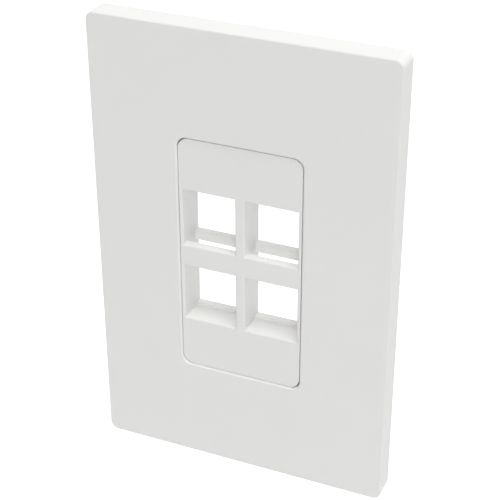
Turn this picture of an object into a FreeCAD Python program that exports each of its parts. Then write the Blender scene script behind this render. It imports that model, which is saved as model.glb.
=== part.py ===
# Keystone faceplate: a screwless single-gang wall plate with a four-port keystone insert.
#
# Frame: X to the right, Z up, and the front looks along -Y. The origin is the middle of the wall
# plane. A "level" is a distance in front of the wall, so it grows along -Y. Sizes are millimetres.
#
# The plate comes apart as cover_plate (snaps on), sub_plate (the frame under it), keystone_insert
# (one moulding: face, ports and mounting ears) and plate_screws (sub_plate to the insert's ears).
import FreeCAD, Part
import math
import os
from types import SimpleNamespace

import Sketcher
from FreeCAD import Vector

SIZES = {
    # Cover plate
    "cover_width": 80.6,
    "cover_height": 125.0,
    "cover_depth": 6.7,
    "cover_corner_radius": 2.2,
    "cover_edge_radius": 0.4,
    "cover_face_thickness": 2.0,
    "cover_wall": 2.2,
    "cover_inner_radius": 1.0,
    "collar_wall": 1.0,
    "collar_depth": 2.4,
    "opening_corner_radius": 2.6,
    "opening_edge_radius": 0.6,
    "pry_slot_width": 12.0,
    "pry_slot_depth": 1.3,
    # Snap lugs inside the long walls of the cover
    "lug_length": 8.0,
    "lug_pitch": 38.0,
    "lug_reach": 0.8,
    "lug_level": 0.5,
    "lug_flat": 0.5,
    "lug_clearance": 0.2,
    # Keystone insert
    "insert_height": 66.5,
    "insert_corner_radius": 2.9,
    "insert_edge_radius": 0.1,
    "insert_face_thickness": 2.3,
    "insert_recess": 0.35,
    "insert_gap": 0.15,
    "skirt_wall": 1.3,
    "insert_rib_thickness": 1.0,
    "insert_rib_spacing": 16.0,
    # Ports of the insert
    "port_width": 14.4,
    "port_height": 15.9,
    "port_side_wall": 0.9,
    "mullion_width": 2.6,
    "crossbar_height": 6.1,
    "port_depth": 9.0,
    "port_edge_radius": 0.4,
    "jack_ledge_rise": 0.55,
    "latch_rise": 4.15,
    "latch_bar_depth": 2.0,
    "block_floor": 1.5,
    "block_roof": 1.2,
    # Mounting ears of the insert
    "ear_width": 20.0,
    "ear_thickness": 1.6,
    "ear_end_margin": 4.0,
    "ear_corner_radius": 3.0,
    "screw_boss_diameter": 6.0,
    "box_screw_spacing": 83.34,
    "box_screw_hole": 4.4,
    "screw_row_gap": 6.75,
    # Sub-plate
    "plate_clearance": 0.3,
    "sub_corner_radius": 1.2,
    "web_thickness": 1.2,
    "web_clearance": 0.2,
    "rim_wall": 1.5,
    "frame_clearance": 0.4,
    "frame_wall": 1.2,
    "sub_rib_thickness": 1.0,
    "sub_rib_standoff": 0.4,
    "side_rib_pitch": 19.0,
    "end_rib_spacing": 26.0,
    # Plate screws, number 6
    "screw_diameter": 3.5,
    "screw_length": 6.35,
    "screw_head_diameter": 6.6,
    "screw_head_rim": 0.25,
    "screw_head_angle": 82.0,
    "screw_tip_chamfer": 0.4,
    "screw_slot_width": 1.0,
    "screw_slot_depth": 0.9,
    "screw_clearance": 0.3,
    "screw_neck_clearance": 0.15,
    "thread_clearance": 0.05,
}


# How far apart two places may be and still count as the same, in millimetres
SAME_PLACE = 1e-4


class Length:
    """A size that knows its value and the sheet formula that gives it."""

    def __init__(self, value, formula):
        self.value = value
        self.formula = formula

    def combined(self, other, sign, value):
        formula = other.formula if isinstance(other, Length) else str(other)
        return Length(value, f"({self.formula} {sign} {formula})")

    def __add__(self, other):
        return self.combined(other, "+", self.value + number(other))

    def __sub__(self, other):
        return self.combined(other, "-", self.value - number(other))

    def __mul__(self, other):
        return self.combined(other, "*", self.value * number(other))

    def __truediv__(self, other):
        return self.combined(other, "/", self.value / number(other))

    def __neg__(self):
        return self * -1


def number(size):
    return size.value if isinstance(size, Length) else size


def half_angle_tangent(angle):
    """The tangent of half an angle that is given in degrees."""
    return Length(math.tan(math.radians(angle.value / 2)), f"tan({angle.formula} / 2)")


doc = FreeCAD.newDocument("keystone_faceplate")
sheet = doc.addObject("Spreadsheet::Sheet", "sizes")
for row, (alias, value) in enumerate(SIZES.items(), 1):
    sheet.set(f"A{row}", alias)
    sheet.set(f"B{row}", str(value))
    sheet.setAlias(f"B{row}", alias)
doc.recompute()
size = SimpleNamespace(**{alias: Length(value, f"sizes.{alias}") for alias, value in SIZES.items()})
ZERO = Length(0.0, "0")


# Levels and places that more than one piece uses

column_pitch = size.port_width + size.mullion_width
row_pitch = size.port_height + size.crossbar_height
insert_width = column_pitch + size.port_width + size.port_side_wall * 2
rear_opening_height = size.port_height - size.jack_ledge_rise + size.latch_rise
plate_screw_spacing = size.box_screw_spacing + size.screw_row_gap * 2

cover_underside = size.cover_depth - size.cover_face_thickness
cover_inner_width = size.cover_width - size.cover_wall * 2
cover_inner_height = size.cover_height - size.cover_wall * 2
opening_width = insert_width + size.insert_gap * 2
opening_height = size.insert_height + size.insert_gap * 2
collar_width = opening_width + size.collar_wall * 2
collar_height = opening_height + size.collar_wall * 2

web_front = cover_underside - size.web_clearance
web_rear = web_front - size.web_thickness
lug_top = size.lug_level + size.lug_reach + size.lug_flat + size.lug_reach / 2

insert_front = size.cover_depth - size.insert_recess
insert_underside = insert_front - size.insert_face_thickness
port_rear = insert_front - size.port_depth

screw_rim_level = web_front - size.screw_head_rim
screw_head_overhang = (size.screw_head_diameter - size.screw_diameter) / 2
screw_neck_level = screw_rim_level - screw_head_overhang / half_angle_tangent(size.screw_head_angle)
ear_boss_front = screw_neck_level - size.screw_neck_clearance


# Sketch and feature helpers

def origin_feature(body, role):
    return next(feature for feature in body.Origin.OriginFeatures if feature.Role == role)


def new_body(label):
    body = doc.addObject("PartDesign::Body", label)
    body.Label = label
    return body


def new_sketch(body, name, plane="XZ_Plane", offset=ZERO):
    """An empty sketch on an origin plane, moved along the plane's normal by the offset."""
    sketch = body.newObject("Sketcher::SketchObject", name)
    sketch.AttachmentSupport = [(origin_feature(body, plane), "")]
    sketch.MapMode = "FlatFace"
    sketch.AttachmentOffset = FreeCAD.Placement(Vector(0, 0, offset.value), FreeCAD.Rotation())
    sketch.setExpression("AttachmentOffset.Base.z", offset.formula)
    return sketch


def hold(sketch, kind, *where_and_size):
    """Add a dimension to the sketch and bind it to its formula."""
    *where, length = where_and_size
    index = sketch.addConstraint(Sketcher.Constraint(kind, *where, length.value))
    sketch.setExpression(f"Constraints[{index}]", length.formula)


def polygon(sketch, corners):
    """A closed outline through the corners, each held at its own x and y."""
    points = [Vector(x.value, y.value, 0) for x, y in corners]
    lines = [
        sketch.addGeometry(Part.LineSegment(start, end), False)
        for start, end in zip(points, points[1:] + points[:1])
    ]
    for line, following in zip(lines, lines[1:] + lines[:1]):
        sketch.addConstraint(Sketcher.Constraint("Coincident", line, 2, following, 1))
    for line, (x, y) in zip(lines, corners):
        hold(sketch, "DistanceX", -1, 1, line, 1, x)
        hold(sketch, "DistanceY", -1, 1, line, 1, y)


def rectangle(sketch, left, right, bottom, top):
    polygon(sketch, [(left, bottom), (right, bottom), (right, top), (left, top)])


def centred_rectangle(sketch, width, height, x=ZERO, y=ZERO):
    rectangle(sketch, x - width / 2, x + width / 2, y - height / 2, y + height / 2)


def rounded_rectangle(sketch, width, height, radius):
    """A rectangle about the origin with round corners: four sides joined by four tangent arcs."""
    half_x, half_y, r = width.value / 2, height.value / 2, radius.value
    quarter = math.pi / 2
    sides, arcs = [], []
    for turn in range(4):
        across, along = (half_x, half_y) if turn % 2 == 0 else (half_y, half_x)
        rotation = FreeCAD.Rotation(Vector(0, 0, 1), 90 * turn)
        start = rotation.multVec(Vector(across, r - along, 0))
        end = rotation.multVec(Vector(across, along - r, 0))
        centre = rotation.multVec(Vector(across - r, along - r, 0))
        sides.append(sketch.addGeometry(Part.LineSegment(start, end), False))
        circle = Part.Circle(centre, Vector(0, 0, 1), r)
        arc = Part.ArcOfCircle(circle, quarter * turn, quarter * (turn + 1))
        arcs.append(sketch.addGeometry(arc, False))
    for turn in range(4):
        following = sides[(turn + 1) % 4]
        sketch.addConstraint(Sketcher.Constraint("Tangent", sides[turn], 2, arcs[turn], 1))
        sketch.addConstraint(Sketcher.Constraint("Tangent", arcs[turn], 2, following, 1))
        sketch.addConstraint(Sketcher.Constraint("Vertical" if turn % 2 == 0 else "Horizontal", sides[turn]))
    for arc in arcs[1:]:
        sketch.addConstraint(Sketcher.Constraint("Equal", arcs[0], arc))
    hold(sketch, "Radius", arcs[0], radius)
    hold(sketch, "DistanceX", -1, 1, sides[0], 1, width / 2)
    hold(sketch, "DistanceX", sides[2], 1, -1, 1, width / 2)
    hold(sketch, "DistanceY", -1, 1, sides[1], 1, height / 2)
    hold(sketch, "DistanceY", sides[3], 1, -1, 1, height / 2)


def circle(sketch, diameter, x, y):
    outline = Part.Circle(Vector(x.value, y.value, 0), Vector(0, 0, 1), diameter.value / 2)
    ring = sketch.addGeometry(outline, False)
    hold(sketch, "Diameter", ring, diameter)
    hold(sketch, "DistanceX", -1, 1, ring, 3, x)
    hold(sketch, "DistanceY", -1, 1, ring, 3, y)


def pad(body, sketch, height):
    """Add material in front of the sketch."""
    feature = body.newObject("PartDesign::Pad", sketch.Name + "_pad")
    feature.Profile = sketch
    feature.setExpression("Length", height.formula)
    finish(body, feature, grows=True)
    return feature


def pocket(body, sketch, depth):
    """Cut from the sketch back towards the wall."""
    feature = body.newObject("PartDesign::Pocket", sketch.Name + "_cut")
    feature.Profile = sketch
    feature.setExpression("Length", depth.formula)
    finish(body, feature, grows=False)
    return feature


def fillet(body, name, radius, chosen):
    """Round the edges that the chosen test picks."""
    base = body.Tip
    feature = body.newObject("PartDesign::Fillet", name)
    edges = [f"Edge{n}" for n, edge in enumerate(base.Shape.Edges, 1) if chosen(edge)]
    feature.Base = (base, edges)
    feature.setExpression("Radius", radius.formula)
    finish(body, feature, grows=False)


def finish(body, feature, grows):
    """Make the feature the body's tip, and stop if it failed or changed the volume the wrong way."""
    before = body.Shape.Volume if not body.Shape.isNull() else 0.0
    body.Tip = feature
    doc.recompute()
    change = body.Shape.Volume - before
    if feature.State and "Invalid" in feature.State or change * (1 if grows else -1) <= 0:
        raise RuntimeError(f"{feature.Name}: volume changed by {change:.3f}, state {feature.State}")


def at_level(edge, level):
    """Whether the whole edge lies in the plane at this level."""
    box = edge.BoundBox
    return abs(box.YMin + level.value) < SAME_PLACE and abs(box.YMax + level.value) < SAME_PLACE


def mirrored_places(distance):
    return (-distance, distance)


# Cover plate

def within_opening(edge):
    """Whether the edge lies on the outline of the cover's opening or inside it."""
    box = edge.BoundBox
    return max(-box.XMin, box.XMax) < opening_width.value / 2 + SAME_PLACE


def build_cover_plate():
    """A shallow moulded tray with an opening, a collar round it and snap lugs inside its long walls."""
    body = new_body("cover_plate")

    outline = new_sketch(body, "cover_outline")
    rounded_rectangle(outline, size.cover_width, size.cover_height, size.cover_corner_radius)
    pad(body, outline, size.cover_depth)
    fillet(body, "cover_front_edge", size.cover_edge_radius, lambda edge: at_level(edge, size.cover_depth))

    hollow = new_sketch(body, "cover_hollow", offset=cover_underside)
    rounded_rectangle(hollow, cover_inner_width, cover_inner_height, size.cover_inner_radius)
    pocket(body, hollow, cover_underside)

    collar = new_sketch(body, "cover_collar", offset=cover_underside - size.collar_depth)
    rounded_rectangle(collar, collar_width, collar_height, size.opening_corner_radius + size.collar_wall)
    pad(body, collar, size.collar_depth)

    opening = new_sketch(body, "cover_opening", offset=size.cover_depth)
    rounded_rectangle(opening, opening_width, opening_height, size.opening_corner_radius)
    pocket(body, opening, size.cover_face_thickness + size.collar_depth)
    fillet(
        body,
        "cover_opening_edge",
        size.opening_edge_radius,
        lambda edge: at_level(edge, size.cover_depth) and within_opening(edge),
    )

    add_snap_lugs(body)

    slot = new_sketch(body, "pry_slot", offset=size.pry_slot_depth)
    bottom = -size.cover_height / 2
    half_slot = size.pry_slot_width / 2
    rectangle(slot, -half_slot, half_slot, bottom - size.cover_wall, bottom + size.cover_wall)
    pocket(body, slot, size.pry_slot_depth)
    return body


def add_snap_lugs(body):
    """Wedges that spring over the sub-plate's rim: one profile on each wall, repeated up the wall."""
    first = -size.lug_pitch - size.lug_length / 2
    profile = new_sketch(body, "snap_lugs", "XY_Plane", first)
    wall = cover_inner_width / 2
    tip = wall - size.lug_reach
    tip_level = size.lug_level + size.lug_reach
    for side in (-1, 1):
        corners = [
            (wall * side, -size.lug_level),
            (tip * side, -tip_level),
            (tip * side, -(tip_level + size.lug_flat)),
            (wall * side, -lug_top),
        ]
        polygon(profile, corners)
    lugs = pad(body, profile, size.lug_length)

    pattern = body.newObject("PartDesign::LinearPattern", "snap_lug_rows")
    pattern.Originals = [lugs]
    pattern.Direction = (profile, ["N_Axis"])
    pattern.Occurrences = 3
    pattern.setExpression("Length", (size.lug_pitch * 2).formula)
    finish(body, pattern, grows=True)


# Sub-plate

def build_sub_plate():
    """The frame that the screws hold to the insert: a web with a rim, ribs, bosses and lug notches."""
    body = new_body("sub_plate")
    width = cover_inner_width - size.plate_clearance * 2
    height = cover_inner_height - size.plate_clearance * 2
    frame_width = collar_width + size.frame_clearance * 2
    frame_height = collar_height + size.frame_clearance * 2

    web = new_sketch(body, "web", offset=web_rear)
    rounded_rectangle(web, width, height, size.sub_corner_radius)
    pad(body, web, size.web_thickness)

    rim = new_sketch(body, "rim")
    rounded_rectangle(rim, width, height, size.sub_corner_radius)
    centred_rectangle(rim, width - size.rim_wall * 2, height - size.rim_wall * 2)
    pad(body, rim, web_rear)

    frame = new_sketch(body, "frame_wall", offset=size.ear_thickness + size.plate_clearance)
    centred_rectangle(frame, frame_width + size.frame_wall * 2, frame_height + size.frame_wall * 2)
    pad(body, frame, web_rear - size.ear_thickness - size.plate_clearance)

    add_sub_plate_ribs(body, width, height, frame_width, frame_height)

    window = new_sketch(body, "frame_opening", offset=web_front)
    rounded_rectangle(window, frame_width, frame_height, size.opening_corner_radius + size.collar_wall)
    pocket(body, window, web_front)

    bosses = new_sketch(body, "screw_bosses", offset=ear_boss_front)
    for z in mirrored_places(plate_screw_spacing / 2):
        circle(bosses, size.screw_boss_diameter, ZERO, z)
    pad(body, bosses, web_rear - ear_boss_front)
    add_countersunk_holes(body)

    notches = new_sketch(body, "lug_notches", offset=lug_top + size.lug_clearance)
    depth = size.lug_reach - size.plate_clearance + size.lug_clearance
    for side in (-1, 1):
        for row in (-1, 0, 1):
            centred_rectangle(
                notches,
                depth * 2,
                size.lug_length + size.lug_clearance * 2,
                width / 2 * side,
                size.lug_pitch * row,
            )
    pocket(body, notches, lug_top + size.lug_clearance)
    return body


def add_sub_plate_ribs(body, width, height, frame_width, frame_height):
    """Stiffening ribs behind the web: level ones beside the opening, upright ones above and below it."""
    ribs = new_sketch(body, "ribs", offset=size.sub_rib_standoff)
    inner_x = width / 2 - size.rim_wall
    inner_z = height / 2 - size.rim_wall
    frame_x = frame_width / 2 + size.frame_wall
    frame_z = frame_height / 2 + size.frame_wall
    for side in (-1, 1):
        low, high = sorted((frame_x * side, inner_x * side), key=number)
        for row in (-1, 0, 1):
            z = size.side_rib_pitch * row
            rectangle(ribs, low, high, z - size.sub_rib_thickness / 2, z + size.sub_rib_thickness / 2)
    pad(body, ribs, web_rear - size.sub_rib_standoff)

    frame_sides = new_sketch(body, "frame_sides", offset=size.sub_rib_standoff)
    for side in (-1, 1):
        low, high = sorted((frame_x * side, (frame_x - size.frame_wall) * side), key=number)
        rectangle(frame_sides, low, high, -frame_z, frame_z)
    pad(body, frame_sides, web_rear - size.sub_rib_standoff)

    uprights = new_sketch(body, "upright_ribs", offset=size.sub_rib_standoff)
    for end in (-1, 1):
        low, high = sorted((frame_z * end, inner_z * end), key=number)
        for x in mirrored_places(size.end_rib_spacing / 2):
            rectangle(uprights, x - size.sub_rib_thickness / 2, x + size.sub_rib_thickness / 2, low, high)
    pad(body, uprights, web_rear - size.sub_rib_standoff)


def add_countersunk_holes(body):
    """Clearance holes for the plate screws, countersunk to the angle of their heads."""
    centres = new_sketch(body, "plate_screw_centres", offset=web_front)
    for z in mirrored_places(plate_screw_spacing / 2):
        circle(centres, size.screw_diameter, ZERO, z)
    doc.recompute()
    holes = body.newObject("PartDesign::Hole", "plate_screw_holes")
    holes.Profile = centres
    holes.DepthType = "ThroughAll"
    holes.ThreadType = "None"
    holes.HoleCutType = "Countersink"
    holes.HoleCutCustomValues = True
    holes.setExpression("Diameter", (size.screw_diameter + size.screw_clearance * 2).formula)
    holes.setExpression("HoleCutDiameter", (size.screw_head_diameter + size.screw_clearance * 2).formula)
    holes.setExpression("HoleCutCountersinkAngle", size.screw_head_angle.formula)
    finish(body, holes, grows=False)


# Keystone insert

def port_columns():
    return mirrored_places(column_pitch / 2)


def port_rows():
    return mirrored_places(row_pitch / 2)


def build_keystone_insert():
    """One moulding: a face with two columns of two ports, a skirt behind it, and an ear at each end."""
    body = new_body("keystone_insert")

    face = new_sketch(body, "insert_face", offset=insert_underside)
    rounded_rectangle(face, insert_width, size.insert_height, size.insert_corner_radius)
    pad(body, face, size.insert_face_thickness)
    fillet(body, "insert_front_edge", size.insert_edge_radius, lambda edge: at_level(edge, insert_front))

    skirt = new_sketch(body, "skirt")
    rounded_rectangle(skirt, insert_width, size.insert_height, size.insert_corner_radius)
    rounded_rectangle(
        skirt,
        insert_width - size.skirt_wall * 2,
        size.insert_height - size.skirt_wall * 2,
        size.insert_corner_radius - size.skirt_wall,
    )
    pad(body, skirt, insert_underside)

    add_ears(body)
    add_ports(body)
    return body


def add_ears(body):
    """The flat ears at top and bottom, each with a box-screw hole and a boss for a plate screw."""
    ear_tip = plate_screw_spacing / 2 + size.ear_end_margin
    ear_root = size.insert_height / 2 - size.skirt_wall
    ears = new_sketch(body, "ears")
    half = size.ear_width / 2
    rectangle(ears, -half, half, ear_root, ear_tip)
    rectangle(ears, -half, half, -ear_tip, -ear_root)
    pad(body, ears, size.ear_thickness)
    fillet(
        body,
        "ear_corners",
        size.ear_corner_radius,
        lambda edge: edge.BoundBox.ZLength < SAME_PLACE
        and edge.BoundBox.XLength < SAME_PLACE
        and abs(abs(edge.BoundBox.ZMax) - ear_tip.value) < SAME_PLACE,
    )

    bosses = new_sketch(body, "ear_bosses", offset=size.ear_thickness)
    for z in mirrored_places(plate_screw_spacing / 2):
        circle(bosses, size.screw_boss_diameter, ZERO, z)
    pad(body, bosses, ear_boss_front - size.ear_thickness)

    holes = new_sketch(body, "ear_holes", offset=ear_boss_front)
    for z in mirrored_places(plate_screw_spacing / 2):
        circle(holes, size.screw_diameter + size.thread_clearance * 2, ZERO, z)
    for z in mirrored_places(size.box_screw_spacing / 2):
        circle(holes, size.box_screw_hole, ZERO, z)
    pocket(body, holes, ear_boss_front)


def add_ports(body):
    """A block behind the face, cut by each port: its mouth, the latch space and its rear opening.

    The latch space runs up behind the crossbar, so that a jack's latch can swing and then hook
    behind the latch bar across the rear of the block. The jack's foot sits on the ledge below.
    """
    column_bottom = -(row_pitch + size.port_height) / 2
    ledge_top = column_bottom + size.jack_ledge_rise
    column_top = ledge_top + row_pitch * 2
    half_width = size.port_width / 2

    block = new_sketch(body, "port_block", offset=port_rear)
    half = insert_width / 2
    rectangle(block, -half, half, column_bottom - size.block_floor, column_top + size.block_roof)
    pad(body, block, insert_underside - port_rear)

    ribs = new_sketch(body, "insert_ribs", offset=size.ear_thickness)
    inner_end = size.insert_height / 2 - size.skirt_wall
    for x in mirrored_places(size.insert_rib_spacing / 2):
        left = x - size.insert_rib_thickness / 2
        right = x + size.insert_rib_thickness / 2
        rectangle(ribs, left, right, column_top + size.block_roof, inner_end)
        rectangle(ribs, left, right, -inner_end, column_bottom - size.block_floor)
    pad(body, ribs, insert_underside - size.ear_thickness)

    mouths = new_sketch(body, "port_mouths", offset=insert_front)
    for x in port_columns():
        for z in port_rows():
            centred_rectangle(mouths, size.port_width, size.port_height, x, z)
    pocket(body, mouths, size.insert_face_thickness)

    latch_spaces = new_sketch(body, "latch_spaces", offset=insert_underside)
    for x in port_columns():
        rectangle(latch_spaces, x - half_width, x + half_width, column_bottom, column_top)
    pocket(body, latch_spaces, size.port_depth - size.insert_face_thickness - size.latch_bar_depth)

    rear_openings = new_sketch(body, "rear_openings", offset=port_rear + size.latch_bar_depth)
    for x in port_columns():
        for row in (0, 1):
            bottom = ledge_top + row_pitch * row
            rectangle(rear_openings, x - half_width, x + half_width, bottom, bottom + rear_opening_height)
    pocket(body, rear_openings, size.latch_bar_depth)

    fillet(
        body,
        "port_edges",
        size.port_edge_radius,
        lambda edge: at_level(edge, insert_front) and around_ports(edge),
    )


def around_ports(edge):
    """Whether the edge lies within the outline that the four mouths share."""
    box = edge.BoundBox
    half_width = (column_pitch + size.port_width).value / 2
    half_height = (row_pitch + size.port_height).value / 2
    inside_x = max(-box.XMin, box.XMax) < half_width + SAME_PLACE
    inside_z = max(-box.ZMin, box.ZMax) < half_height + SAME_PLACE
    return inside_x and inside_z


# Plate screws

def build_plate_screws():
    """Two slotted flat-head screws: one turned profile, slotted, then mirrored to the other end."""
    body = new_body("plate_screws")
    body.AllowCompound = True
    axis_z = plate_screw_spacing / 2
    shank = size.screw_diameter / 2
    head = size.screw_head_diameter / 2
    tip_level = web_front - size.screw_length
    outline = [
        (web_front, ZERO),
        (web_front, head),
        (screw_rim_level, head),
        (screw_neck_level, shank),
        (tip_level + size.screw_tip_chamfer, shank),
        (tip_level, shank - size.screw_tip_chamfer),
        (tip_level, ZERO),
    ]
    profile = new_sketch(body, "screw_profile", "YZ_Plane")
    polygon(profile, [(-level, axis_z + radius) for level, radius in outline])
    turned = body.newObject("PartDesign::Revolution", "turned_screw")
    turned.Profile = profile
    turned.ReferenceAxis = (profile, ["Edge7"])
    turned.Angle = 360
    finish(body, turned, grows=True)

    slot = new_sketch(body, "driver_slot", offset=web_front)
    centred_rectangle(slot, size.screw_head_diameter * 2, size.screw_slot_width, ZERO, axis_z)
    slot_cut = pocket(body, slot, size.screw_slot_depth)

    pair = body.newObject("PartDesign::Mirrored", "screw_pair")
    pair.Originals = [turned, slot_cut]
    pair.MirrorPlane = (origin_feature(body, "XY_Plane"), [""])
    finish(body, pair, grows=True)
    return body


# Build, check and write every piece

def check_document():
    for thing in doc.Objects:
        if "Invalid" in thing.State or "Error" in thing.State:
            raise RuntimeError(f"{thing.Name} failed: {thing.State}")


def expected_solids(body):
    """Every piece is one solid, apart from the pair of plate screws."""
    return 2 if body.Label == "plate_screws" else 1


def write_piece(body):
    shape = body.Shape
    if shape.isNull() or not shape.isValid() or len(shape.Solids) != expected_solids(body):
        raise RuntimeError(f"{body.Label}: the shape is null, not valid or has a wrong number of solids")
    path = os.path.join("parts", body.Label + ".step")
    shape.exportStep(path)
    box = shape.BoundBox
    print(
        f"{body.Label}: {len(shape.Solids)} solid(s), {shape.Volume / 1000:.3f} cm3, "
        f"X {box.XMin:.2f}..{box.XMax:.2f}, Y {box.YMin:.2f}..{box.YMax:.2f}, "
        f"Z {box.ZMin:.2f}..{box.ZMax:.2f}"
    )


pieces = [
    build_cover_plate(),
    build_sub_plate(),
    build_keystone_insert(),
    build_plate_screws(),
]
doc.recompute()
check_document()
os.makedirs("parts", exist_ok=True)
for piece in pieces:
    write_piece(piece)
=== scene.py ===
# %% [markdown]
# # Keystone faceplate
#
# A keystone faceplate is a white plastic plate for a wall box. It has four square mouths, and each
# one takes a snap-in network jack. The moulded parts arrive here at their real size, in metres, as
# a fixed frame. This file gives them their finish, adds the small details that only a surface
# modeller would draw, and sets up the light and the camera.
#
# The plate stands upright. X runs to the right, Z runs up, and +Y runs into the wall, so that the
# front of the plate looks along -Y.

# %% Load the moulded parts
import math

import bpy
from mathutils import Matrix, Vector
from mathutils.bvhtree import BVHTree


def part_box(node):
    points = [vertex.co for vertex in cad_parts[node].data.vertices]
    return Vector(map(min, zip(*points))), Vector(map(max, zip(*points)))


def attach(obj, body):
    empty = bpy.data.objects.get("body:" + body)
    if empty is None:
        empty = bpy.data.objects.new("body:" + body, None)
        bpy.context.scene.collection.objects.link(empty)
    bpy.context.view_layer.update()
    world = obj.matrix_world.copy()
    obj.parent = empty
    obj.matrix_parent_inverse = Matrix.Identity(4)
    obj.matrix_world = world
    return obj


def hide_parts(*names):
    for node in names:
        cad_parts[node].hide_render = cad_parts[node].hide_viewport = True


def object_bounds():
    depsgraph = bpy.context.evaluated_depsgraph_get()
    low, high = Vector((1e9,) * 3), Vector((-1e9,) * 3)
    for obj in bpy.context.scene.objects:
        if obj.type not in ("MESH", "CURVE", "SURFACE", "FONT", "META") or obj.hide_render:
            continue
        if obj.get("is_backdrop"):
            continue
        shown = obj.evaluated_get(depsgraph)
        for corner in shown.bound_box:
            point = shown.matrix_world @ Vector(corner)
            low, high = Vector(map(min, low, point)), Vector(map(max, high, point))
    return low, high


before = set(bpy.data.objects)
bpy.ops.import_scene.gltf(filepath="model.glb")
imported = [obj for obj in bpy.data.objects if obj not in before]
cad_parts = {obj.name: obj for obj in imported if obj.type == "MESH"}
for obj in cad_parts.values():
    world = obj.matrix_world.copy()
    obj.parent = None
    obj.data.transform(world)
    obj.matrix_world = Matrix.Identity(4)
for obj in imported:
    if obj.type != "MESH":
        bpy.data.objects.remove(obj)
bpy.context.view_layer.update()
cover_low, cover_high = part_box("cover_plate")
face_centre = Vector((0, cover_low.y, 0))
millimetre = 0.001
cover_size = [round((high - low) / millimetre, 2) for low, high in zip(cover_low, cover_high)]
print("pieces:", sorted(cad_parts))
print("cover:", cover_size, "mm")

# %% [markdown]
# ## The camera
#
# A product like this is shown from a little above and to one side, so that its thin edge and the
# depth of its ports can be seen. A long lens keeps the sides of the plate almost parallel. A camera
# can be placed by its coordinates or made to track a target. Here it is placed by two angles, a
# tiny roll and a distance, because these are what one would change to get another view: it looks
# back at a point near the middle of the face.

# %% Place the camera by its angles
view_turn = math.radians(23.4)
view_lift = math.radians(30.15)
view_roll = math.radians(-0.1)
view_distance = 0.3515
aim_right = 2.7 * millimetre
aim_up = 4.5 * millimetre
lens_length = 100.0
film_width = 36.0
nearest_seen = 10 * millimetre

# The camera looks along its own -Z, so its Z axis points backward, from the plate to the camera.
level_reach = math.cos(view_lift)
backward = Vector(
    (math.sin(view_turn) * level_reach, -math.cos(view_turn) * level_reach, math.sin(view_lift))
)
level_right = Vector((math.cos(view_turn), math.sin(view_turn), 0))
rightward = Matrix.Rotation(view_roll, 3, backward) @ level_right
upward = backward.cross(rightward)

camera_data = bpy.data.cameras.new("product_camera")
camera_data.lens = lens_length
camera_data.sensor_width = film_width
camera_data.clip_start = nearest_seen
camera = bpy.data.objects.new("product_camera", camera_data)
bpy.context.scene.collection.objects.link(camera)
camera_place = face_centre + rightward * aim_right + upward * aim_up + backward * view_distance
camera_turn = Matrix((rightward, upward, backward)).transposed()
camera.matrix_world = Matrix.Translation(camera_place) @ camera_turn.to_4x4()
bpy.context.scene.camera = camera
bpy.context.scene.view_settings.view_transform = "Standard"
print("camera at", [round(value / millimetre, 1) for value in camera_place], "mm")

# %% [markdown]
# ## The light all round
#
# A white plate in front of white is easily lost, so its edges need light of their own. Round a
# plate on a studio table that light comes from the bright wall behind it. An image of a real studio
# could light it, or one even colour, which makes every face the same grey. Here the world glows
# from behind only: strongest straight behind the plate, and fading with the square of the cosine.
#
# The camera, and any mirror-like surface, sees this world as plain white. Light Path tells those
# rays apart, so the white background puts no extra light on the plate.
#
# Worlds, materials and shapes are all trees of nodes here, so the first helpers feed a node's
# inputs and make a Math node in one line.

# %% Write the helpers that every tree needs


def feed(tree, socket, value):
    """Give an input its value, or join it to another node's output."""
    if isinstance(value, bpy.types.NodeSocket):
        tree.links.new(value, socket)
    else:
        socket.default_value = value


def math_node(tree, operation, *values):
    """The result of a Math node, whose inputs are numbers or other nodes' outputs."""
    node = tree.nodes.new("ShaderNodeMath")
    node.operation = operation
    for socket, value in zip(node.inputs, values):
        feed(tree, socket, value)
    return node.outputs[0]


def seen_directly(tree):
    """One for a ray that shows the background: from the camera, off a mirror or through glass."""
    ray = tree.nodes.new("ShaderNodeLightPath").outputs
    mirror_or_glass = math_node(tree, "MAXIMUM", ray["Is Glossy Ray"], ray["Is Transmission Ray"])
    return math_node(tree, "MAXIMUM", ray["Is Camera Ray"], mirror_or_glass)


print("tree helpers ready")

# %% Let the world glow from behind
glow_axis = (0.0, 1.0, 0.0)
glow_strength = 2.30
glow_falloff = 2.0
white = (1.0, 1.0, 1.0, 1.0)


def glow_from_behind(tree):
    """Light that is strongest along the axis, and falls off with a power of the cosine."""
    direction = tree.nodes.new("ShaderNodeTexCoord").outputs["Generated"]
    facing = tree.nodes.new("ShaderNodeVectorMath")
    facing.operation = "DOT_PRODUCT"
    feed(tree, facing.inputs[0], direction)
    feed(tree, facing.inputs[1], glow_axis)
    cosine = math_node(tree, "MAXIMUM", facing.outputs["Value"], 0.0)
    share = math_node(tree, "POWER", cosine, glow_falloff)
    return math_node(tree, "MULTIPLY", share, glow_strength)


def light_world():
    """A world that lights the plate with the glow, and is white where it is seen directly."""
    world = bpy.data.worlds.new("studio_world")
    bpy.context.scene.world = world
    world.use_nodes = True
    tree = world.node_tree
    tree.nodes.clear()
    lit = tree.nodes.new("ShaderNodeBackground")
    feed(tree, lit.inputs["Color"], white)
    feed(tree, lit.inputs["Strength"], glow_from_behind(tree))
    shown = tree.nodes.new("ShaderNodeBackground")
    feed(tree, shown.inputs["Color"], white)
    mix = tree.nodes.new("ShaderNodeMixShader")
    for socket, value in zip(mix.inputs, (seen_directly(tree), lit.outputs[0], shown.outputs[0])):
        feed(tree, socket, value)
    output = tree.nodes.new("ShaderNodeOutputWorld")
    feed(tree, output.inputs["Surface"], mix.outputs[0])


light_world()
print("world glows with strength", glow_strength)

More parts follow.
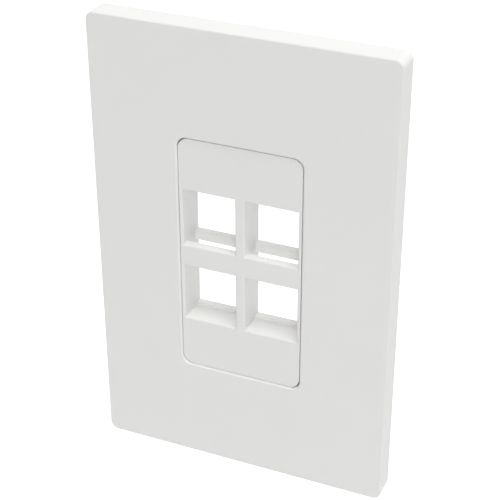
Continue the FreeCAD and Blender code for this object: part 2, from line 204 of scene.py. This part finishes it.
# %% [markdown]
# ## The lamps
#
# Soft square lamps give the faces and the deep ports their shading. One beside the camera lights
# whatever the camera sees, also inside the ports, and a weaker one in front and a little above
# lights the faces more than the ports' walls. Two overhead light the top edge and the sills, and
# the one further to the right lights the right edge as well.
#
# A lamp could be a sun, a point or a square. A square one is chosen because a large lamp makes a
# soft shadow, and these are about half as wide as they are far. They hang metres away, because a
# near lamp would make one end of the plate lighter than the other.

# %% Hang the soft lamps
camera_lamp_distance = 5.0

# Each lamp has its place and its width in metres, and its power in watts.
lamps = {
    "camera_lamp": (tuple(backward * camera_lamp_distance), 2.0, 113.0),
    "front_lamp": ((0.0, -4.8, 1.6), 2.0, 20.3),
    "overhead_lamp": ((0.0, -0.6, 2.2), 1.2, 14.6),
    "right_overhead_lamp": ((0.9, -0.2, 2.0), 1.0, 19.3),
}


def soft_lamp(name, place, width, power):
    """A square lamp that faces the middle of the plate."""
    data = bpy.data.lights.new(name, "AREA")
    data.shape = "RECTANGLE"
    data.size = width
    data.size_y = width
    data.energy = power
    lamp = bpy.data.objects.new(name, data)
    bpy.context.scene.collection.objects.link(lamp)
    lamp.location = place
    lamp.rotation_euler = (Vector(place) - face_centre).to_track_quat("Z", "Y").to_euler()


for name, (place, width, power) in lamps.items():
    soft_lamp(name, place, width, power)
print("lamps:", {name: power for name, (place, width, power) in lamps.items()}, "watts")

# %% [markdown]
# ## The floor
#
# The plate belongs on a wall, so the floor lies well below it and mostly sends light back up. It is
# a pale matt plane. Where it is seen directly, a glow is added to its paint, which lifts it to the
# white of the background. More light would do that too, but it would also fall on the plate.
#
# The floor is small. A wide one would show as a grey band at its far edge when the camera looks
# level, and would light the bottom of the plate's face more than its top.

# %% Lay the floor
floor_drop = 0.16
floor_half_width = 1.2
floor_lift = 0.5
floor_grey = (0.80, 0.80, 0.80, 1.0)
square_corners = ((-1, -1), (1, -1), (1, 1), (-1, 1))


def floor_paint():
    """Pale matt paint, with a glow added only where it is seen directly."""
    material = bpy.data.materials.new("floor_paint")
    material.use_nodes = True
    tree = material.node_tree
    tree.nodes.clear()
    paint = tree.nodes.new("ShaderNodeBsdfDiffuse")
    feed(tree, paint.inputs["Color"], floor_grey)
    lift = tree.nodes.new("ShaderNodeEmission")
    seen_lift = math_node(tree, "MULTIPLY", seen_directly(tree), floor_lift)
    feed(tree, lift.inputs["Strength"], seen_lift)
    both = tree.nodes.new("ShaderNodeAddShader")
    feed(tree, both.inputs[0], paint.outputs[0])
    feed(tree, both.inputs[1], lift.outputs[0])
    output = tree.nodes.new("ShaderNodeOutputMaterial")
    feed(tree, output.inputs["Surface"], both.outputs[0])
    return material


def lay_floor(level, half_width):
    """One square face, marked as part of the studio and not of the plate."""
    mesh = bpy.data.meshes.new("floor")
    corners = [(x * half_width, y * half_width, level) for x, y in square_corners]
    mesh.from_pydata(corners, [], [(0, 1, 2, 3)])
    mesh.materials.append(floor_paint())
    floor = bpy.data.objects.new("floor", mesh)
    bpy.context.scene.collection.objects.link(floor)
    floor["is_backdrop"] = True


floor_level = cover_low.z - floor_drop
lay_floor(floor_level, floor_half_width)
print("floor level", round(floor_level / millimetre, 1), "mm")

# %% [markdown]
# ## Moulded plastic
#
# The cover and the insert are moulded in white plastic with a satin finish. The mould's fine
# spark-eroded surface breaks up highlights, so the plastic looks soft rather than glossy. A glossy
# shader with one colour would look like paint. Here a noise much finer than a millimetre gives that
# grain as bump and as a small change of roughness, and a broad, faint noise keeps the white from
# looking flat, as plastic does where it cooled a little faster or slower.

# %% Write the helpers for surface patterns
bump_strength = 0.5


def new_finish(name):
    """A material, its tree, its Principled surface's inputs, and the piece's own coordinates."""
    material = bpy.data.materials.new(name)
    material.use_nodes = True
    tree = material.node_tree
    place = tree.nodes.new("ShaderNodeTexCoord").outputs["Object"]
    return material, tree, tree.nodes["Principled BSDF"].inputs, place


def noise(tree, place, size, detail):
    """A noise whose patches are about as wide as the given size."""
    node = tree.nodes.new("ShaderNodeTexNoise")
    feed(tree, node.inputs["Vector"], place)
    feed(tree, node.inputs["Scale"], 1.0 / size)
    feed(tree, node.inputs["Detail"], detail)
    return node.outputs["Fac"]


def shade_between(tree, pattern, darker, lighter):
    """A colour that runs from the darker to the lighter one with the pattern."""
    mix = tree.nodes.new("ShaderNodeMix")
    mix.data_type = "RGBA"
    feed(tree, mix.inputs["A"], (*darker, 1.0))
    feed(tree, mix.inputs["B"], (*lighter, 1.0))
    feed(tree, mix.inputs["Factor"], pattern)
    return mix.outputs["Result"]


def fade(tree, value, start, end, first, last):
    """A value that runs from first to last while the given one runs from start to end."""
    node = tree.nodes.new("ShaderNodeMapRange")
    names = ("Value", "From Min", "From Max", "To Min", "To Max")
    for name, given in zip(names, (value, start, end, first, last)):
        feed(tree, node.inputs[name], given)
    return node.outputs["Result"]


def pattern_bump(tree, pattern, surface, depth):
    """Let the surface rise and fall with the pattern."""
    bump = tree.nodes.new("ShaderNodeBump")
    feed(tree, bump.inputs["Height"], pattern)
    feed(tree, bump.inputs["Distance"], depth)
    feed(tree, bump.inputs["Strength"], bump_strength)
    feed(tree, surface["Normal"], bump.outputs["Normal"])


print("pattern helpers ready")

# %% Make the moulded plastic
plastic_white = (0.80, 0.797, 0.784)
plastic_ior = 1.5
drift_size = 22 * millimetre
drift_amount = 0.015
gloss_change = 0.04


def moulded_plastic(name, colour, roughness, grain_size, grain_depth):
    """Satin plastic: a colour with a faint drift, and a fine grain as bump and roughness."""
    material, tree, surface, place = new_finish(name)
    feed(tree, surface["IOR"], plastic_ior)
    drift = noise(tree, place, drift_size, detail=3.0)
    darker = [channel * (1 - drift_amount) for channel in colour]
    lighter = [channel * (1 + drift_amount) for channel in colour]
    feed(tree, surface["Base Color"], shade_between(tree, drift, darker, lighter))
    grain = noise(tree, place, grain_size, detail=2.0)
    smoother, rougher = roughness - gloss_change, roughness + gloss_change
    feed(tree, surface["Roughness"], fade(tree, grain, 0.0, 1.0, smoother, rougher))
    pattern_bump(tree, grain, surface, grain_depth)
    return material


def finish_node(node, material):
    """Give a moulded part its finish by filling its material slots."""
    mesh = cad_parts[node].data
    if not mesh.materials:
        mesh.materials.append(material)
    for index in range(len(mesh.materials)):
        mesh.materials[index] = material


cover_plastic = moulded_plastic(
    "cover_plastic",
    plastic_white,
    roughness=0.45,
    grain_size=0.25 * millimetre,
    grain_depth=0.004 * millimetre,
)
insert_plastic = moulded_plastic(
    "insert_plastic",
    plastic_white,
    roughness=0.45,
    grain_size=0.20 * millimetre,
    grain_depth=0.003 * millimetre,
)
finish_node("cover_plate", cover_plastic)
finish_node("keystone_insert", insert_plastic)
print("white plastic:", plastic_white)

# %% [markdown]
# ## The plastic of the sub-plate
#
# The sub-plate is never seen once the plate is on the wall, so its maker uses a plainer, slightly
# greyer plastic and leaves the mould's surface coarser. It could share the cover's plastic, but
# then nothing would tell the two mouldings apart from behind. It is the same recipe with other
# numbers.

# %% Make the sub-plate's plastic
frame_grey = (0.74, 0.74, 0.72)
frame_plastic = moulded_plastic(
    "frame_plastic",
    frame_grey,
    roughness=0.55,
    grain_size=0.4 * millimetre,
    grain_depth=0.008 * millimetre,
)
finish_node("sub_plate", frame_plastic)
print("sub-plate plastic:", frame_grey)

# %% [markdown]
# ## Trees that build geometry
#
# The next pieces follow a rule, so Geometry Nodes make them: a tree of nodes takes a few named
# sizes and gives back a mesh. The tree hangs on an empty object as a modifier. Its result is then
# frozen into a plain mesh, so that the finished piece carries no modifier and no instances. A mesh
# that starts in a tree brings an empty material slot, so the one finish is set again at the end.

# %% Write the helpers for geometry trees
crease_angle = math.radians(32)


def step(tree, kind, **inputs):
    """One node with its named inputs fed. An underscore in a name stands for a space."""
    node = tree.nodes.new(kind)
    for name, value in inputs.items():
        feed(tree, node.inputs[name.replace("_", " ")], value)
    return node


def vector_node(tree, **parts):
    """A vector from the given ones of X, Y and Z. The others are zero."""
    return step(tree, "ShaderNodeCombineXYZ", **parts).outputs[0]


def start_tree(name, sizes):
    """An empty tree with one named input for each size, and the outputs of those inputs."""
    tree = bpy.data.node_groups.new(name, "GeometryNodeTree")
    tree.interface.new_socket("Geometry", in_out="OUTPUT", socket_type="NodeSocketGeometry")
    for title, value in sizes.items():
        kind = "NodeSocketInt" if isinstance(value, int) else "NodeSocketFloat"
        tree.interface.new_socket(title, in_out="INPUT", socket_type=kind)
    return tree, tree.nodes.new("NodeGroupInput").outputs


def end_tree(tree, geometry, material):
    """Make the instances real, give them their finish and close the tree."""
    real = step(tree, "GeometryNodeRealizeInstances", Geometry=geometry)
    finished = step(
        tree, "GeometryNodeSetMaterial", Geometry=real.outputs[0], Material=material
    )
    output = tree.nodes.new("NodeGroupOutput")
    feed(tree, output.inputs[0], finished.outputs[0])


def freeze_tree(name, tree, sizes):
    """Run the tree with its sizes on an empty object, and keep the result as a plain mesh."""
    piece = bpy.data.objects.new(name, bpy.data.meshes.new(name + "_start"))
    bpy.context.scene.collection.objects.link(piece)
    modifier = piece.modifiers.new("build", "NODES")
    modifier.node_group = tree
    for item in tree.interface.items_tree:
        if item.in_out == "INPUT":
            modifier[item.identifier] = sizes[item.name]
    evaluated = piece.evaluated_get(bpy.context.evaluated_depsgraph_get())
    mesh = bpy.data.meshes.new_from_object(evaluated)
    piece.modifiers.clear()
    finish = mesh.materials[-1]
    mesh.materials.clear()
    mesh.materials.append(finish)
    piece.data = mesh
    mesh.name = name
    return piece


def smooth_gentle_bends(mesh):
    """Round shading on gentle bends, and a crisp line on every edge that turns by more."""
    mesh.shade_smooth()
    mesh.set_sharp_from_angle(angle=crease_angle)


print("geometry helpers ready")

# %% [markdown]
# ## Zinc-plated steel
#
# The screws are steel with a bright zinc coat. Metal gets its look from what it reflects, so the
# shader is fully metallic and the work goes into its roughness: a cloudy patch here and there from
# the plating bath, and fine rings from the lathe. An image of scratched metal could show them, but
# it would stretch over the thread. The rings are bands across the screw's length instead.

# %% Make the zinc coat
zinc = (0.62, 0.63, 0.65)
cloud_size = 1.5 * millimetre
cloud_shade = 0.9
bright_roughness = 0.24
dull_roughness = 0.42
ring_scale = 1.0 / (0.12 * millimetre)
ring_waver = 0.6
ring_depth = 0.002 * millimetre

# A Wave texture turns through 20 radians in one unit of its scaled coordinate.
ring_pitch = 2 * math.pi / (20 * ring_scale)


def plated_steel(name, colour):
    """Bright metal with cloudy patches, and the lathe's rings as bump."""
    material, tree, surface, place = new_finish(name)
    feed(tree, surface["Metallic"], 1.0)
    cloud = noise(tree, place, cloud_size, detail=4.0)
    darker = [channel * cloud_shade for channel in colour]
    feed(tree, surface["Base Color"], shade_between(tree, cloud, darker, colour))
    roughness = fade(tree, cloud, 0.0, 1.0, bright_roughness, dull_roughness)
    feed(tree, surface["Roughness"], roughness)
    rings = tree.nodes.new("ShaderNodeTexWave")
    rings.bands_direction = "Y"
    feed(tree, rings.inputs["Vector"], place)
    feed(tree, rings.inputs["Scale"], ring_scale)
    feed(tree, rings.inputs["Distortion"], ring_waver)
    pattern_bump(tree, rings.outputs["Fac"], surface, ring_depth)
    return material


screw_steel = plated_steel("screw_steel", zinc)
print("lathe rings about every", round(ring_pitch / millimetre, 3), "mm")

# %% [markdown]
# ## The plate screws
#
# Two small flat-head screws hold the sub-plate to the insert. The fixed frame has them with a
# smooth shank, so here they are made again with their thread. A thread could be a spiral wire laid
# on a core, but its ends would stick out. Instead the screw starts as one plain cylinder, and every
# ring of it is pushed out to the radius that the screw has at that depth: wide at the head, then a
# cone, then a ridge that climbs round the shank once for each pitch. A box then cuts the slot. The
# finished screw is placed on two points, one at each end of the plate.

# %% Measure the plate screws
screw_low, screw_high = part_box("plate_screws")
head_radius = screw_high.x
screw_sizes = {
    "Length": screw_high.y - screw_low.y,
    "Head radius": head_radius,
    "Head rim": 0.25 * millimetre,
    "Head depth": 2.03 * millimetre,
    "Crest radius": 1.75 * millimetre,
    "Thread depth": 0.42 * millimetre,
    "Pitch": 0.794 * millimetre,
    "Slot width": 1.0 * millimetre,
    "Slot depth": 0.9 * millimetre,
    "Spacing": (screw_high.z - head_radius) * 2,
    "Middle": (screw_high.y + screw_low.y) / 2,
    "Sides": 36,
    "Rings": 104,
}
for name, value in screw_sizes.items():
    print(name, value if isinstance(value, int) else f"{value / millimetre:.3f} mm")

# %% Work out the screw's radius at every depth
tip_share = 0.78


def ring_radius(tree, sizes, depth, turn):
    """The screw's radius at a depth below its head and at a part of a turn round it."""
    rim, cone_end = sizes["Head rim"], sizes["Head depth"]
    crest, ridge_height = sizes["Crest radius"], sizes["Thread depth"]
    head = fade(tree, depth, rim, cone_end, sizes["Head radius"], crest)

    # The ridge climbs one pitch in a turn: up for half a turn and down for the other half.
    climb = math_node(tree, "ADD", math_node(tree, "DIVIDE", depth, sizes["Pitch"]), turn)
    ridge = math_node(tree, "MULTIPLY", math_node(tree, "PINGPONG", climb, 0.5), 2.0)
    root = math_node(tree, "SUBTRACT", crest, ridge_height)
    thread = math_node(tree, "ADD", root, math_node(tree, "MULTIPLY", ridge, ridge_height))

    tip_start = math_node(tree, "SUBTRACT", sizes["Length"], ridge_height)
    narrowing = fade(tree, depth, tip_start, sizes["Length"], 1.0, tip_share)
    shank = math_node(tree, "MULTIPLY", thread, narrowing)

    on_shank = math_node(tree, "GREATER_THAN", depth, cone_end)
    on_head = math_node(tree, "SUBTRACT", 1.0, on_shank)
    head_part = math_node(tree, "MULTIPLY", head, on_head)
    return math_node(tree, "ADD", head_part, math_node(tree, "MULTIPLY", shank, on_shank))


def turned_screw(tree, sizes):
    """A plain cylinder, with each of its points pushed out to the screw's radius there."""
    blank = step(
        tree,
        "GeometryNodeMeshCylinder",
        Vertices=sizes["Sides"],
        Side_Segments=sizes["Rings"],
        Radius=sizes["Crest radius"],
        Depth=sizes["Length"],
    )
    position = step(tree, "GeometryNodeInputPosition").outputs[0]
    place = step(tree, "ShaderNodeSeparateXYZ", Vector=position).outputs
    head_end = math_node(tree, "DIVIDE", sizes["Length"], 2.0)
    depth = math_node(tree, "SUBTRACT", head_end, place["Z"])
    angle = math_node(tree, "ARCTAN2", place["Y"], place["X"])
    turn = math_node(tree, "DIVIDE", angle, 2 * math.pi)
    radius = ring_radius(tree, sizes, depth, turn)
    stretch = math_node(tree, "DIVIDE", radius, sizes["Crest radius"])
    pushed = vector_node(
        tree,
        X=math_node(tree, "MULTIPLY", place["X"], stretch),
        Y=math_node(tree, "MULTIPLY", place["Y"], stretch),
        Z=place["Z"],
    )
    blank_mesh = blank.outputs["Mesh"]
    return step(tree, "GeometryNodeSetPosition", Geometry=blank_mesh, Position=pushed).outputs[0]


print("the tip narrows to", tip_share, "of the shank")

# %% Cut the slot and place the two screws
cutter_reach = 3.0
head_to_front = (math.radians(90), 0.0, 0.0)


def cut_slot(tree, sizes, screw):
    """Cut the slot with a box that reaches past the head's rim and stands half above it."""
    box_size = vector_node(
        tree,
        X=math_node(tree, "MULTIPLY", sizes["Head radius"], cutter_reach),
        Y=sizes["Slot width"],
        Z=math_node(tree, "MULTIPLY", sizes["Slot depth"], 2.0),
    )
    box = step(tree, "GeometryNodeMeshCube", Size=box_size).outputs["Mesh"]
    head_top = vector_node(tree, Z=math_node(tree, "DIVIDE", sizes["Length"], 2.0))
    cutter = step(tree, "GeometryNodeTransform", Geometry=box, Translation=head_top).outputs[0]
    slotted = step(tree, "GeometryNodeMeshBoolean", Mesh_1=screw, Mesh_2=cutter)
    # The fast solver loses most faces of a screw as small as this one.
    slotted.solver = "EXACT"
    return slotted.outputs["Mesh"]


def pair_of_screws(tree, sizes, screw):
    """Turn the screw's head to the front, and place it on a line of two points."""
    seat = vector_node(tree, Y=sizes["Middle"])
    turned = step(
        tree, "GeometryNodeTransform", Geometry=screw, Translation=seat, Rotation=head_to_front
    ).outputs[0]
    lower_end = vector_node(tree, Z=math_node(tree, "DIVIDE", sizes["Spacing"], -2.0))
    apart = vector_node(tree, Z=sizes["Spacing"])
    ends = step(
        tree, "GeometryNodeMeshLine", Count=2, Start_Location=lower_end, Offset=apart
    ).outputs[0]
    return step(tree, "GeometryNodeInstanceOnPoints", Points=ends, Instance=turned).outputs[0]


def screw_tree(name, sizes, material):
    """The whole tree: turn the blank, cut the slot, place the pair and finish it."""
    tree, given = start_tree(name, sizes)
    screw = cut_slot(tree, given, turned_screw(tree, given))
    end_tree(tree, pair_of_screws(tree, given, screw), material)
    return tree


screw_build = screw_tree("plate_screw_build", screw_sizes, screw_steel)
print("nodes in the tree:", len(screw_build.nodes))

# %% Make the plate screws
threaded_screws = freeze_tree("threaded_plate_screws", screw_build, screw_sizes)
smooth_gentle_bends(threaded_screws.data)
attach(threaded_screws, "root")
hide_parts("plate_screws")
print("screw faces:", len(threaded_screws.data.polygons))

# %% [markdown]
# ## Ejector-pin marks
#
# When the mould opens, steel pins push the sub-plate out of it, and each pin leaves a shallow round
# mark on the back, between the ribs. A bump in the material could draw them, but from close by
# they have an edge that catches light, so they are very low discs. Each stands in the middle of a
# field between two ribs, so the rows are one rib's pitch apart, and one disc is placed on the
# points of a grid. A ray from behind the plate finds the surface that they belong on.

# %% Find the back of the sub-plate
mark_column = 27 * millimetre
mark_row = 19 * millimetre
mark_rows = 4
outer_mark = mark_row * (mark_rows - 1) / 2
well_behind = 50 * millimetre


def surface_behind(node, x, z):
    """The Y of the first surface of a part that is met from behind, at x and z."""
    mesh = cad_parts[node].data
    corners = [vertex.co for vertex in mesh.vertices]
    skin = BVHTree.FromPolygons(corners, [face.vertices for face in mesh.polygons])
    met = skin.ray_cast(Vector((x, well_behind, z)), Vector((0, -1, 0)))
    return met[0].y


web_back = surface_behind("sub_plate", mark_column, outer_mark)
print("back of the web at", round(web_back / millimetre, 2), "mm")

# %% Make the ejector-pin marks
mark_sizes = {
    "Mark radius": 2.0 * millimetre,
    "Mark rise": 0.12 * millimetre,
    "Mark sides": 40,
    "Column spacing": mark_column * 2,
    "Row spacing": mark_row,
    "Rows": mark_rows,
    "Level": web_back,
}
top_to_back = (math.radians(-90), 0.0, 0.0)
grid_upright = (math.radians(90), 0.0, 0.0)


def pin_mark_tree(name, sizes, material):
    """Place one low disc on the points of a grid that stands on the back of the web."""
    tree, given = start_tree(name, sizes)
    disc = step(
        tree,
        "GeometryNodeMeshCone",
        Vertices=given["Mark sides"],
        Radius_Top=math_node(tree, "SUBTRACT", given["Mark radius"], given["Mark rise"]),
        Radius_Bottom=given["Mark radius"],
        Depth=given["Mark rise"],
    ).outputs["Mesh"]
    mark = step(tree, "GeometryNodeTransform", Geometry=disc, Rotation=top_to_back).outputs[0]
    row_gaps = math_node(tree, "SUBTRACT", given["Rows"], 1.0)
    grid = step(
        tree,
        "GeometryNodeMeshGrid",
        Size_X=given["Column spacing"],
        Size_Y=math_node(tree, "MULTIPLY", given["Row spacing"], row_gaps),
        Vertices_X=2,
        Vertices_Y=given["Rows"],
    ).outputs["Mesh"]
    level = vector_node(tree, Y=given["Level"])
    upright = step(
        tree, "GeometryNodeTransform", Geometry=grid, Translation=level, Rotation=grid_upright
    ).outputs[0]
    marks = step(tree, "GeometryNodeInstanceOnPoints", Points=upright, Instance=mark)
    end_tree(tree, marks.outputs[0], material)
    return tree


mark_build = pin_mark_tree("pin_mark_build", mark_sizes, frame_plastic)
pin_marks = freeze_tree("pin_marks", mark_build, mark_sizes)
smooth_gentle_bends(pin_marks.data)
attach(pin_marks, "root")
faces_per_mark = mark_sizes["Mark sides"] + 2
print("pin marks:", len(pin_marks.data.polygons) // faces_per_mark)

# %% [markdown]
# ## The finished plate
#
# Nothing that is added may change the plate's size. The two boxes could be compared by eye, but
# numbers are surer, so the box of the finished model is written out here, as the cover's box was
# when the parts were loaded.

# %% Finish
visual_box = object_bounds()
finished_size = [round((high - low) / millimetre, 2) for low, high in zip(*visual_box)]
print("finished plate:", finished_size, "mm")
